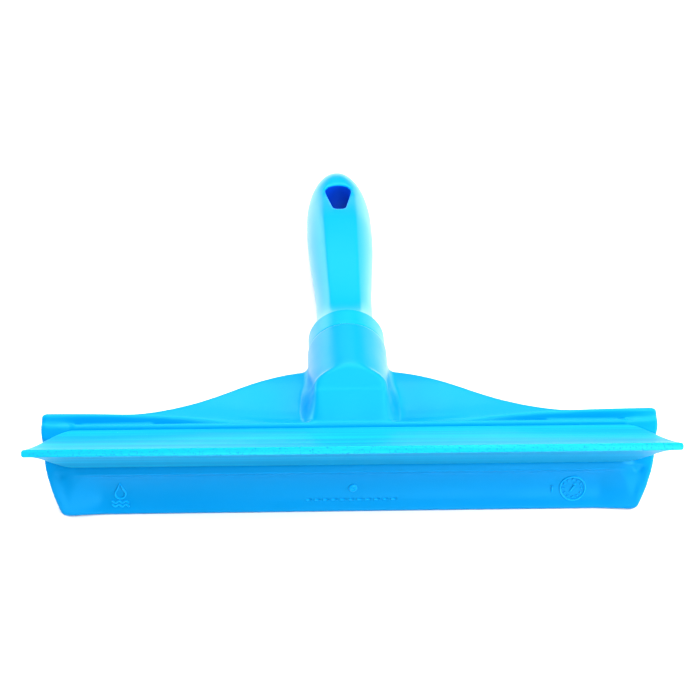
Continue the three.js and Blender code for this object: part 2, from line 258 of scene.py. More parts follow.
@dataclass(frozen=True)
class Skin:
    """Closed skin over a distance field, by dual cells pulled onto the surface.

    Attributes:
        low: lowest corner of the region, in tool millimetres.
        high: highest corner of the region.
        step: size of the cells.
        pulls: how many times the points are pulled onto the surface.
    """

    low: tuple[float, float, float]
    high: tuple[float, float, float]
    step: float
    pulls: int = 4

    def build(self, field_at: Callable[[Array, Array, Array], Array]) -> tuple[Array, Array]:
        """Points and four-sided faces of the field's zero surface.

        Args:
            field_at: the field, negative inside.

        Returns:
            The points in tool millimetres, and the corner indices of the faces.
        """
        axes = [np.arange(a, b + self.step, self.step) for a, b in zip(self.low, self.high)]
        x, y, z = np.meshgrid(*axes, indexing="ij")
        values = field_at(x, y, z)
        inside = values < 0.0
        corners = [(i, j, k) for i in (0, 1) for j in (0, 1) for k in (0, 1)]
        cells = tuple(n - 1 for n in inside.shape)
        count = sum(
            inside[i : i + cells[0], j : j + cells[1], k : k + cells[2]].astype(np.int8)
            for i, j, k in corners
        )
        active = np.argwhere((count > 0) & (count < 8))
        number = np.full(cells, -1, np.int64)
        number[tuple(active.T)] = np.arange(len(active))
        points = self._cell_points(values, active)
        faces = self._faces(inside, number)
        return self._pull(points, field_at), faces

    def _cell_points(self, values: Array, active: Array) -> Array:
        """Mean of the places where each active cell's edges meet the surface."""
        total = np.zeros((len(active), 3))
        hits = np.zeros(len(active))
        for axis in range(3):
            others = [a for a in range(3) if a != axis]
            for u in (0, 1):
                for v in (0, 1):
                    start = np.zeros(3, int)
                    start[others[0]], start[others[1]] = u, v
                    end = start.copy()
                    end[axis] = 1
                    f0 = values[tuple((active + start).T)]
                    f1 = values[tuple((active + end).T)]
                    crossed = (f0 < 0.0) != (f1 < 0.0)
                    t = np.where(crossed, f0 / np.where(crossed, f0 - f1, 1.0), 0.0)
                    place = start + t[:, None] * (end - start)
                    total += place * crossed[:, None]
                    hits += crossed
        return np.array(self.low) + (active + total / hits[:, None]) * self.step

    def _faces(self, inside: Array, number: Array) -> Array:
        """One face across every grid edge that the surface crosses."""
        found = []
        for axis in range(3):
            a, b = [(1, 2), (2, 0), (0, 1)][axis]
            first = [slice(1, -1)] * 3
            first[axis] = slice(0, -1)
            second = [slice(1, -1)] * 3
            second[axis] = slice(1, None)
            before, after = inside[tuple(first)], inside[tuple(second)]
            for leaving in (True, False):
                edge = np.argwhere((before & ~after) if leaving else (~before & after))
                base = edge + 1
                base[:, axis] -= 1
                ring = [(-1, -1), (0, -1), (0, 0), (-1, 0)]
                if not leaving:
                    ring = ring[::-1]
                quad = []
                for da, db in ring:
                    cell = base.copy()
                    cell[:, a] += da
                    cell[:, b] += db
                    quad.append(number[tuple(cell.T)])
                found.append(np.stack(quad, axis=1))
        return np.concatenate(found)

    def _pull(self, points: Array, field_at: Callable[[Array, Array, Array], Array]) -> Array:
        """Points moved along the field's slope until they lie on the surface."""
        reach = 0.05
        for _ in range(self.pulls):
            slope = np.zeros_like(points)
            for axis in range(3):
                shift = np.zeros(3)
                shift[axis] = reach
                ahead = field_at(*(points + shift).T)
                behind = field_at(*(points - shift).T)
                slope[:, axis] = (ahead - behind) / (2.0 * reach)
            here = field_at(*points.T)
            move = here[:, None] * slope / np.maximum((slope**2).sum(1), 0.05)[:, None]
            length = np.linalg.norm(move, axis=1, keepdims=True)
            points = points - move * np.minimum(1.0, 0.5 * self.step / np.maximum(length, 1e-9))
        return points


# ---- finishes ------------------------------------------------------------------------


@dataclass(frozen=True)
class Plastic:
    """Moulded blue plastic, satin, with slight flow clouds and handling marks.

    Attributes:
        name: material name.
        colour: base colour, linear.
        shade: second colour that the flow clouds run to.
        gloss: roughness of the clean surface.
        scuff: roughness where it is rubbed.
        grain: height of the fine surface grain, in metres.
        ior: refractive index, which sets how strongly it reflects.
        sheen: tint of its reflections.
        cloud_scale: how many flow clouds lie in a metre.
        rub_scale: how many rubbed patches lie in a metre.
        rub_range: noise values where a rubbed patch starts and is full.
        grain_scale: how many grains lie in a metre.
        grain_strength: how much of the grain's height shows.
    """

    name: str
    colour: tuple[float, float, float]
    shade: tuple[float, float, float]
    gloss: float = 0.30
    scuff: float = 0.42
    grain: float = 0.00003
    ior: float = 1.49
    sheen: tuple[float, float, float] = (0.12, 0.75, 1.0)
    cloud_scale: float = 18.0
    rub_scale: float = 90.0
    rub_range: tuple[float, float] = (0.35, 0.75)
    grain_scale: float = 1400.0
    grain_strength: float = 0.5

    def material(self) -> bpy.types.Material:
        """The node material of this finish."""
        made = bpy.data.materials.new(self.name)
        made.use_nodes = True
        nodes, links = made.node_tree.nodes, made.node_tree.links
        shader = nodes["Principled BSDF"]
        shader.inputs["IOR"].default_value = self.ior
        shader.inputs["Specular Tint"].default_value = (*self.sheen, 1.0)
        place = nodes.new("ShaderNodeTexCoord")
        clouds = self._noise(nodes, links, place, self.cloud_scale, 3.0)
        colours = nodes.new("ShaderNodeMix")
        colours.data_type = "RGBA"
        colours.inputs["A"].default_value = (*self.colour, 1.0)
        colours.inputs["B"].default_value = (*self.shade, 1.0)
        links.new(clouds.outputs["Fac"], colours.inputs["Factor"])
        links.new(colours.outputs["Result"], shader.inputs["Base Color"])
        rubbed = self._noise(nodes, links, place, self.rub_scale, 6.0)
        rough = nodes.new("ShaderNodeMapRange")
        rough.inputs["From Min"].default_value = self.rub_range[0]
        rough.inputs["From Max"].default_value = self.rub_range[1]
        rough.inputs["To Min"].default_value = self.gloss
        rough.inputs["To Max"].default_value = self.scuff
        links.new(rubbed.outputs["Fac"], rough.inputs["Value"])
        links.new(rough.outputs["Result"], shader.inputs["Roughness"])
        fine = self._noise(nodes, links, place, self.grain_scale, 2.0)
        bump = nodes.new("ShaderNodeBump")
        bump.inputs["Strength"].default_value = self.grain_strength
        bump.inputs["Distance"].default_value = self.grain
        links.new(fine.outputs["Fac"], bump.inputs["Height"])
        links.new(bump.outputs["Normal"], shader.inputs["Normal"])
        return made

    @staticmethod
    def _noise(
        nodes: bpy.types.Nodes,
        links: bpy.types.NodeLinks,
        place: bpy.types.Node,
        scale: float,
        detail: float,
    ) -> bpy.types.Node:
        """Noise texture on the object's own coordinates.

        Args:
            nodes: the material's nodes.
            links: the material's links.
            place: node that gives the coordinates.
            scale: how many features lie in a metre.
            detail: how many finer layers are added.

        Returns:
            The noise node.
        """
        noise = nodes.new("ShaderNodeTexNoise")
        noise.inputs["Scale"].default_value = scale
        noise.inputs["Detail"].default_value = detail
        links.new(place.outputs["Object"], noise.inputs["Vector"])
        return noise


@dataclass(frozen=True)
class Rubber:
    """Soft blade material, matt, drawn out in fine streaks and dotted with specks.

    Attributes:
        name: material name.
        colour: base colour, linear.
        streak: colour of the streaks.
        speck: colour of the specks.
        share: how much of the surface the specks take.
        rough: roughness.
        grain: height of the surface grain, in metres.
        sheen: tint of its reflections.
        drawn_scale: how many streaks lie in a metre, along X, Y and Z.
        streak_range: noise values where a streak starts and is full.
        speck_scale: how many specks lie in a metre.
        speck_from: noise value above which specks would start with a share of 0.
        speck_edge: width of a speck's soft edge, as noise.
        grain_strength: how much of the grain's height shows.
    """

    name: str
    colour: tuple[float, float, float]
    streak: tuple[float, float, float]
    speck: tuple[float, float, float]
    share: float
    rough: float
    grain: float
    sheen: tuple[float, float, float] = (0.1, 0.8, 1.0)
    drawn_scale: tuple[float, float, float] = (6.0, 420.0, 420.0)
    streak_range: tuple[float, float] = (0.42, 0.62)
    speck_scale: float = 1900.0
    speck_from: float = 0.74
    speck_edge: float = 0.04
    grain_strength: float = 0.6

    def material(self) -> bpy.types.Material:
        """The node material of this finish."""
        made = bpy.data.materials.new(self.name)
        made.use_nodes = True
        nodes, links = made.node_tree.nodes, made.node_tree.links
        shader = nodes["Principled BSDF"]
        shader.inputs["Roughness"].default_value = self.rough
        shader.inputs["Specular Tint"].default_value = (*self.sheen, 1.0)
        place = nodes.new("ShaderNodeTexCoord")
        drawn = nodes.new("ShaderNodeMapping")
        drawn.inputs["Scale"].default_value = self.drawn_scale
        links.new(place.outputs["Object"], drawn.inputs["Vector"])
        lines = nodes.new("ShaderNodeTexNoise")
        lines.inputs["Scale"].default_value = 1.0
        lines.inputs["Detail"].default_value = 3.0
        links.new(drawn.outputs["Vector"], lines.inputs["Vector"])
        dots = nodes.new("ShaderNodeTexNoise")
        dots.inputs["Scale"].default_value = self.speck_scale
        dots.inputs["Detail"].default_value = 2.0
        links.new(place.outputs["Object"], dots.inputs["Vector"])
        base = self._mix(nodes, links, lines)
        tinted = nodes.new("ShaderNodeMix")
        tinted.data_type = "RGBA"
        tinted.inputs["B"].default_value = (*self.speck, 1.0)
        links.new(base.outputs["Result"], tinted.inputs["A"])
        low = self.speck_from - self.share
        edge = self._range(nodes, links, dots, low, low + self.speck_edge)
        links.new(edge.outputs["Result"], tinted.inputs["Factor"])
        links.new(tinted.outputs["Result"], shader.inputs["Base Color"])
        heights = nodes.new("ShaderNodeMath")
        heights.operation = "ADD"
        links.new(lines.outputs["Fac"], heights.inputs[0])
        links.new(edge.outputs["Result"], heights.inputs[1])
        bump = nodes.new("ShaderNodeBump")
        bump.inputs["Strength"].default_value = self.grain_strength
        bump.inputs["Distance"].default_value = self.grain
        links.new(heights.outputs["Value"], bump.inputs["Height"])
        links.new(bump.outputs["Normal"], shader.inputs["Normal"])
        return made

    @staticmethod
    def _range(
        nodes: bpy.types.Nodes,
        links: bpy.types.NodeLinks,
        noise: bpy.types.Node,
        low: float,
        high: float,
    ) -> bpy.types.Node:
        """Noise stretched to 0 at low and 1 at high.

        Args:
            nodes: the material's nodes.
            links: the material's links.
            noise: the noise node.
            low: noise value that becomes 0.
            high: noise value that becomes 1.

        Returns:
            The stretching node.
        """
        made = nodes.new("ShaderNodeMapRange")
        made.inputs["From Min"].default_value = low
        made.inputs["From Max"].default_value = high
        links.new(noise.outputs["Fac"], made.inputs["Value"])
        return made

    def _mix(
        self,
        nodes: bpy.types.Nodes,
        links: bpy.types.NodeLinks,
        noise: bpy.types.Node,
    ) -> bpy.types.Node:
        """Base colour and streak colour, mixed by the streaks' noise.

        Args:
            nodes: the material's nodes.
            links: the material's links.
            noise: the streaks' noise node.

        Returns:
            The mixing node.
        """
        made = nodes.new("ShaderNodeMix")
        made.data_type = "RGBA"
        made.inputs["A"].default_value = (*self.colour, 1.0)
        made.inputs["B"].default_value = (*self.streak, 1.0)
        streaks = self._range(nodes, links, noise, *self.streak_range)
        links.new(streaks.outputs["Result"], made.inputs["Factor"])
        return made


PLASTICS = (
    Plastic("head_blue", (0.0, 0.180, 0.44), (0.0, 0.163, 0.42), ior=1.33),
    # lighter blue for the raised skirt marks, which are moulded in the head's plastic: a painted
    # highlight on the marks
    Plastic("mark_painted_highlight", (0.0, 0.26, 0.62), (0.0, 0.24, 0.60)),
    Plastic("collar_blue", (0.0, 0.205, 0.50), (0.0, 0.19, 0.48), ior=1.3),
    Plastic("grip_blue", (0.0, 0.205, 0.57), (0.0, 0.19, 0.55), 0.29, 0.33, 0.000003, ior=1.36),
    # darker blue laid on the hanging hole's inner walls: painted shade inside the hole
    Plastic("painted_hole_shade", (0.0, 0.035, 0.42), (0.0, 0.03, 0.38), 0.4, 0.5, 0.000003),
)
RUBBERS = (
    Rubber(
        "blade_blue",
        colour=(0.0, 0.175, 0.36),
        streak=(0.0, 0.235, 0.42),
        speck=(0.03, 0.33, 0.48),
        share=0.03,
        rough=0.55,
        grain=0.0001,
    ),
    Rubber(
        "blade_cut",
        colour=(0.0, 0.225, 0.42),
        streak=(0.01, 0.28, 0.46),
        speck=(0.0, 0.14, 0.32),
        share=0.14,
        rough=0.6,
        grain=0.00012,
    ),
)


# ---- the head ------------------------------------------------------------------------


@dataclass
class Head:
    """Moulded head: rail, wing, skirt, neck block and socket in one skin.

    Attributes:
        axes: the tool's axes.
        line: where the blade stands.
        half_width: half width over the wing.
        foot_taper: how much narrower each end is at the skirt's foot.
        corner: corner radius of wing and skirt, seen flat.
        edge: rounding of the plates' edges.
        wing_depth: wing behind the rail, at the middle.
        wing_end_depth: wing behind the rail, at its ends.
        wing_rise: how far the wing's ends climb above the rail.
        wing_thickness: thickness of the wing.
        sweep_from: where the wing's rear edge starts to sweep forward.
        sweep_to: where it has reached its end depth.
        rail_half: half length of the bead.
        skirt_drop: length of the skirt below the ledge.
        skirt_hollow: how far the skirt is hollowed at half its drop.
        skirt_lean: how far the skirt leans back from upright.
        skirt_thickness: thickness of the skirt.
        ledge_step: how far the skirt stands behind the ledge.
        ledge_half: where the skirt's ends start to come forward.
        end_slope: length over which they come forward.
        dip: depth of the hollow behind the bead, near the wing's ends.
        sag: depth of the wing beside the neck.
        bead_tall: height of the bead.
        bead_deep: depth of the bead.
        bead_front: how far the bead stands in front of the rail's face.
        rail_backing: thickness of the rail.
        socket_radius: outer radius of the socket.
        mouth: tool Y of the socket's mouth.
        round_length: length of the round socket, from its mouth to the sloping face.
        squareness: power of the neck block's section; 2 is round.
        neck_half: half width of the neck block at the rail.
        shoulder_half: half width over the neck's sloping sides.
        shoulder_height: how high those sides start.
        shoulder_end: tool Y where those sides have run out.
        bore_radius: radius of the socket's bore.
        bore_bottom: tool Y of its bottom.
        thread_lead: lead of the thread.
        thread_depth: depth of the thread.
        step: size of the skin's cells.
    """

    axes: ToolAxes
    line: BladeLine
    half_width: float = 118.9
    foot_taper: float = 7.2
    corner: float = 2.4
    edge: float = 1.4
    wing_depth: float = 35.0
    wing_end_depth: float = 5.5
    wing_rise: float = 3.5
    wing_thickness: float = 3.0
    sweep_from: float = 12.0
    sweep_to: float = 87.0
    rail_half: float = 107.0
    skirt_drop: float = 17.0
    skirt_hollow: float = 2.1
    skirt_lean: float = math.radians(17.0)
    skirt_thickness: float = 2.8
    ledge_step: float = 1.5
    ledge_half: float = 96.5
    end_slope: float = 15.0
    dip: float = 1.5
    sag: float = 2.2
    bead_tall: float = 2.4
    bead_deep: float = 1.5
    bead_front: float = 0.27
    rail_backing: float = 3.4
    socket_radius: float = 16.0
    mouth: float = 73.0
    round_length: float = 27.5
    squareness: float = 6.0
    neck_half: float = 12.8
    shoulder_half: float = 20.6
    shoulder_height: float = 9.0
    shoulder_end: float = 58.0
    bore_radius: float = 10.5
    bore_bottom: float = 45.0
    thread_lead: float = 5.0
    thread_depth: float = 0.7
    step: float = 0.8

    @property
    def rail_top(self) -> tuple[float, float]:
        """Upper edge of the rail's face."""
        return self.line.point(0.0, self.line.root / 2)

    @property
    def ledge_foot(self) -> tuple[float, float]:
        """Lower edge of the rail's face."""
        return self.line.point(0.0, -self.line.root / 2 - self.line.ledge)

    @property
    def face_slope(self) -> tuple[float, float]:
        """How far the neck's sloping face runs back and rises, from the rail to the socket."""
        run = self.mouth - self.round_length - self.rail_top[0]
        return run, self.socket_radius - self.rail_top[1]

    def skirt_read(self, y: Array, z: Array) -> tuple[Array, Array]:
        """How far down the skirt and how far behind the ledge each point lies."""
        dy, dz = y - self.ledge_foot[0], z - self.ledge_foot[1]
        s, c = math.sin(self.skirt_lean), math.cos(self.skirt_lean)
        return -dy * s - dz * c, dy * c - dz * s

    def end_width(self, z: Array) -> Array:
        """Half width of the plates at a height."""
        top = self.rail_top[1] + self.wing_rise - self.corner
        foot = self.ledge_foot[1] - self.skirt_drop * math.cos(self.skirt_lean)
        t = np.clip((top - z) / (top - foot), 0.0, 1.2)
        return self.half_width - self.foot_taper * t * t

    def wing_top(self, far: Array, y: Array) -> Array:
        """Height of the wing's upper side.

        It climbs from the rail in a hollow step towards its ends, and sags behind the
        bead beside the neck.
        """
        behind = y - self.rail_top[0]
        rise = self.wing_rise * ramp(far, 0.0, self.half_width) * ramp(behind, 0.8, 3.8)
        dip = self.dip * ramp(far, 36.0, 70.0) * ramp(far, 116.0, 102.0)
        hollow = ramp(behind, 0.6, 1.6) * ramp(behind, 4.2, 1.8)
        sag = self.sag * ramp(far, 80.0, 24.0) * ramp(behind, 0.8, 2.6) * ramp(behind, 28.0, 10.0)
        return self.rail_top[1] + rise - dip * hollow - sag

    def wing_field(self, x: Array, y: Array, z: Array) -> Array:
        """The wing's plate."""
        far = np.abs(x)
        depth = mix(self.wing_depth, self.wing_end_depth, ramp(far, self.sweep_from, self.sweep_to))
        t = (y - self.rail_top[0]) / depth
        rise = self.wing_rise * ramp(far, 0.0, self.half_width)
        height = self.wing_top(far, y)
        half = self.wing_thickness / 2
        slab = (np.abs(z - height + half) - half) / np.sqrt(1.0 + (rise / 3.6) ** 2)
        lean = 0.5 * ramp(far, self.sweep_from, 50.0) * ramp(far, self.sweep_to, 50.0)
        back = (t - 1.0) * depth / np.sqrt(1.0 + lean**2)
        plan = round_box([back, far - self.end_width(z)], self.corner)
        return round_box([slab, plan], self.edge)

    def skirt_surface(self, x: Array, down: Array) -> Array:
        """How far behind the ledge's line the skirt's front lies; its ends come forward."""
        q = np.clip(down / self.skirt_drop, 0.0, 1.0)
        past = (np.abs(x) - self.ledge_half) / self.end_slope
        flush = np.clip(past, 0.0, 1.0) + 0.04 * np.exp(-np.abs(past) * 14.0)
        return (self.ledge_step + self.skirt_hollow * 4.0 * q * (1.0 - q)) * (1.0 - 0.9 * flush)

    def skirt_field(self, x: Array, y: Array, z: Array) -> Array:
        """The skirt's plate."""
        down, back = self.skirt_read(y, z)
        half = self.skirt_thickness / 2
        slab = np.abs(back - self.skirt_surface(x, down) - half) - half
        reach = round_box([down - self.skirt_drop, np.abs(x) - self.end_width(z)], self.corner)
        return round_box([slab, reach, -down - 6.0], self.edge - 0.05)

    def rail_field(self, x: Array, y: Array, z: Array) -> Array:
        """The rail behind the blade."""
        s, t = self.line.read(y, z)
        half = self.rail_backing / 2
        middle = -self.line.ledge / 2
        reach = (self.line.root + self.line.ledge) / 2
        ends = np.abs(x) - self.end_width(z)
        return round_box([np.abs(s + half) - half, np.abs(t - middle) - reach, ends], 0.5)

    def bead_field(self, x: Array, y: Array, z: Array) -> Array:
        """Rounded bead along the rail's upper edge, behind the blade."""
        s, t = self.line.read(y, z)
        deep = self.bead_deep / 2
        across = np.abs(s - self.bead_front + deep) - deep
        tall = np.abs(t - self.line.root / 2) - self.bead_tall / 2
        return round_box([across, tall, np.abs(x) - self.rail_half], 0.5)

    def shoulder_field(self, x: Array, y: Array, z: Array) -> Array:
        """Sloping sides that lead from the neck block down to the wing."""
        far = np.abs(x)
        behind = y - self.rail_top[0]
        run, rise = self.face_slope
        base = self.wing_top(far, y) - 0.2
        block = np.minimum(self.rail_top[1] + behind * (rise / run), self.shoulder_height)
        tall = np.maximum(block - base, 0.0) * ramp(y, self.shoulder_end, self.shoulder_end - 20.0)
        reach = self.shoulder_half - self.neck_half
        top = base + tall * ramp(far, self.shoulder_half, self.neck_half)
        steep = np.sqrt(1.0 + (1.2 * tall / reach) ** 2)
        sides = far - self.shoulder_half - 0.5
        gaps = [(z - top) / steep, base - 2.0 - z, -behind, y - self.shoulder_end, sides]
        return round_box(gaps, 0.4)

    def neck_field(self, x: Array, y: Array, z: Array) -> Array:
        """Neck block and socket, with the sloping face down to the rail."""
        half = mix(self.neck_half, self.socket_radius, ramp(y, self.line.rail_y, 52.0))
        power = mix(self.squareness, 2.0, ramp(y, 34.0, 46.0))
        wide, tall = np.abs(x) / half, np.abs(z) / self.socket_radius
        radius = (wide**power + tall**power) ** (1.0 / power)
        body = (radius - 1.0) * half
        run, rise = self.face_slope
        size = math.hypot(run, rise)
        facet = ((z - self.rail_top[1]) * run - (y - self.rail_top[0]) * rise) / size
        block = cut(body, facet, 1.2 + 1.6 * ramp(np.abs(x), 8.0, 12.0) * ramp(y, 44.0, 36.0))
        return round_box([block, y - self.mouth, 24.0 - y], 0.8)

    def bore_field(self, x: Array, y: Array, z: Array) -> Array:
        """The threaded bore of the socket."""
        turn = np.arctan2(z, x) / (2.0 * math.pi)
        wave = 0.5 + 0.5 * np.cos(2.0 * math.pi * (y / self.thread_lead + turn))
        groove = self.thread_depth * wave**2 * ramp(y, self.mouth, self.mouth - 4.0)
        barrel = np.hypot(x, z) - self.bore_radius - groove
        return round_box([barrel, self.bore_bottom - y], 0.6)

    def field_at(self, x: Array, y: Array, z: Array) -> Array:
        """Distance field of the whole head."""
        s, t = self.line.read(y, z)
        far = np.abs(x)
        past = ramp(far, self.rail_half - 4.0, self.rail_half + 4.0)
        inner = np.maximum(ramp(s, -1.5, -5.0), past)
        plates = join(self.rail_field(x, y, z), self.skirt_field(x, y, z), 0.5 + 3.5 * inner)
        lower = ramp(t, -8.0, -9.5)
        soft = past * ramp(self.end_width(z) - far, 0.5, 5.0)
        plates = cut(plates, s + self.ledge_step * past, 0.5 + 1.5 * lower + 2.5 * soft)
        wing = cut(self.wing_field(x, y, z), s, 0.5)
        plates = join(plates, wing, 0.5 + 3.5 * inner)
        plates = cut(plates, far - self.end_width(z), 0.8)
        plates = join(plates, cut(self.shoulder_field(x, y, z), s, 0.5), 0.6)
        fillet = 0.8 + 2.2 * ramp(y, 44.0, 54.0)
        whole = join(plates, cut(self.neck_field(x, y, z), s, 0.5), fillet)
        whole = cut(whole, s, 0.4)
        whole = join(whole, self.bead_field(x, y, z), 0.6)
        return cut(whole, -self.bore_field(x, y, z), 0.5)

    def build(self) -> bpy.types.Object:
        """Makes the head's skin and puts it in the CAD head's place."""
        skin = Skin(
            (-self.half_width - 1.6, self.line.rail_y - 14.0, -34.0),
            (self.half_width + 1.6, self.mouth + 2.0, self.socket_radius + 2.0),
            self.step,
        )
        points, faces = skin.build(self.field_at)
        made = new_object("head_moulding", self.axes.place(points), faces)
        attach(made, "head")
        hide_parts("squeegee_head")
        return made


# ---- marks on the skirt --------------------------------------------------------------


@dataclass
class Marks:
    """Raised moulding marks on the skirt: plain generic shapes, no lettering.

    Attributes:
        head: the head whose skirt carries them.
        height: how far the strokes stand out.
        width: width of a stroke.
        symbol: place of the drop over its waves, as (x, down the skirt).
        dashes: middle of the row of dashes.
        dash_count: how many dashes there are.
        dash_pitch: distance from one dash to the next.
        gate: place of the moulding gate's rings.
        dial: place of the ticked dial.
        tick: place of the bar beside the dial.
        points: rings of points made so far.
        faces: faces made so far.
    """

    head: Head
    height: float = 0.5
    width: float = 0.7
    symbol: tuple[float, float] = (-89.3, 8.2)
    dashes: tuple[float, float] = (0.0, 12.2)
    dash_count: int = 11
    dash_pitch: float = 3.3
    gate: tuple[float, float] = (0.6, 7.6)
    dial: tuple[float, float] = (86.3, 8.6)
    tick: tuple[float, float] = (78.2, 8.9)
    points: list[Array] = field(default_factory=list)
    faces: list[tuple[int, ...]] = field(default_factory=list)

    def on_skirt(self, x: Array, down: Array, out: Array) -> Array:
        """Tool points at places on the skirt's front, out from its surface."""
        back = self.head.skirt_surface(x, down) - out
        s, c = math.sin(self.head.skirt_lean), math.cos(self.head.skirt_lean)
        y = self.head.ledge_foot[0] - down * s + back * c
        z = self.head.ledge_foot[1] - down * c - back * s
        return np.stack([x, y, z], axis=1)

    def stroke(self, path: Sequence[tuple[float, float]], closed: bool = False) -> None:
        """Adds a rounded ridge along a path.

        Args:
            path: places on the skirt, as (x, down).
            closed: whether the last place joins the first.
        """
        line = np.array(path, float)
        ahead = np.roll(line, -1, 0) - line
        behind = line - np.roll(line, 1, 0)
        if not closed:
            ahead[-1] = behind[-1]
            behind[0] = ahead[0]
        lead = ahead / np.linalg.norm(ahead, axis=1, keepdims=True)
        lead += behind / np.linalg.norm(behind, axis=1, keepdims=True)
        lead /= np.linalg.norm(lead, axis=1, keepdims=True)
        side = np.stack([-lead[:, 1], lead[:, 0]], axis=1)
        angles = np.linspace(0.0, math.pi, 7)
        start = sum(len(block) for block in self.points)
        rings = []
        for angle in angles:
            place = line + side * (math.cos(angle) * self.width / 2)
            out = np.full(len(line), math.sin(angle) * self.height - 0.04)
            rings.append(self.on_skirt(place[:, 0], place[:, 1], out))
        self.points.extend(np.stack(rings, axis=1))
        count, rows = len(angles), len(line)
        for k in range(rows if closed else rows - 1):
            a, b = start + k * count, start + ((k + 1) % rows) * count
            self.faces.extend((a + i, a + i + 1, b + i + 1, b + i) for i in range(count - 1))
        if not closed:
            last = start + (rows - 1) * count
            self.faces.append(tuple(range(start, start + count)))
            self.faces.append(tuple(range(last + count - 1, last - 1, -1)))

    def ring(
        self, centre: tuple[float, float], radius: float, steps: int = 40
    ) -> list[tuple[float, float]]:
        """Circle of places round a centre.

        Args:
            centre: its place, as (x, down the skirt).
            radius: its radius.
            steps: how many places it has.

        Returns:
            The places, in order.
        """
        angles = [2.0 * math.pi * i / steps for i in range(steps)]
        return [(centre[0] + radius * math.cos(a), centre[1] + radius * math.sin(a)) for a in angles]

    def build(self) -> bpy.types.Object:
        """Makes all the marks as one object on the head."""
        self._drop()
        for i in range(self.dash_count):
            x = self.dashes[0] + (i - self.dash_count // 2) * self.dash_pitch
            self.stroke([(x - 1.1, self.dashes[1]), (x + 1.1, self.dashes[1])])
        for radius in (0.35, 0.9, 1.3):
            self.stroke(self.ring(self.gate, radius, 24), closed=True)
        self._dial()
        x, down = self.tick
        self.stroke([(x, down - 1.4), (x, down + 1.4)])
        points = self.head.axes.place(np.concatenate(self.points))
        made = new_object("skirt_marks", points, self.faces)
        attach(made, "head")
        return made

    def _drop(self) -> None:
        """Outline of a drop over two short waves."""
        x, down = self.symbol
        angles = np.linspace(-0.25 * math.pi, 1.25 * math.pi, 20)
        drop = [(x + 2.0 * math.cos(a), down + 0.6 + 2.0 * math.sin(a)) for a in angles]
        self.stroke([*drop, (x, down - 3.9)], closed=True)
        for shift in (0.0, 1.3):
            waves = np.linspace(-3.4, 3.4, 25)
            self.stroke([(x + w, down + 3.9 + shift + 0.35 * math.sin(2.4 * w)) for w in waves])

    def _dial(self) -> None:
        """Ring of short ticks with a pointer in the middle."""
        x, down = self.dial
        self.stroke(self.ring(self.dial, 4.9), closed=True)
        for i in range(12):
            a = 2.0 * math.pi * i / 12
            c, s = math.cos(a), math.sin(a)
            self.stroke([(x + 3.3 * c, down + 3.3 * s), (x + 4.0 * c, down + 4.0 * s)])
        self.stroke([(x - 1.0, down + 1.6), (x + 1.1, down - 1.7)])
        self.stroke([(x + 0.1, down - 1.5), (x + 1.1, down - 1.7), (x + 1.5, down - 0.7)])


# ---- the blade -----------------------------------------------------------------------


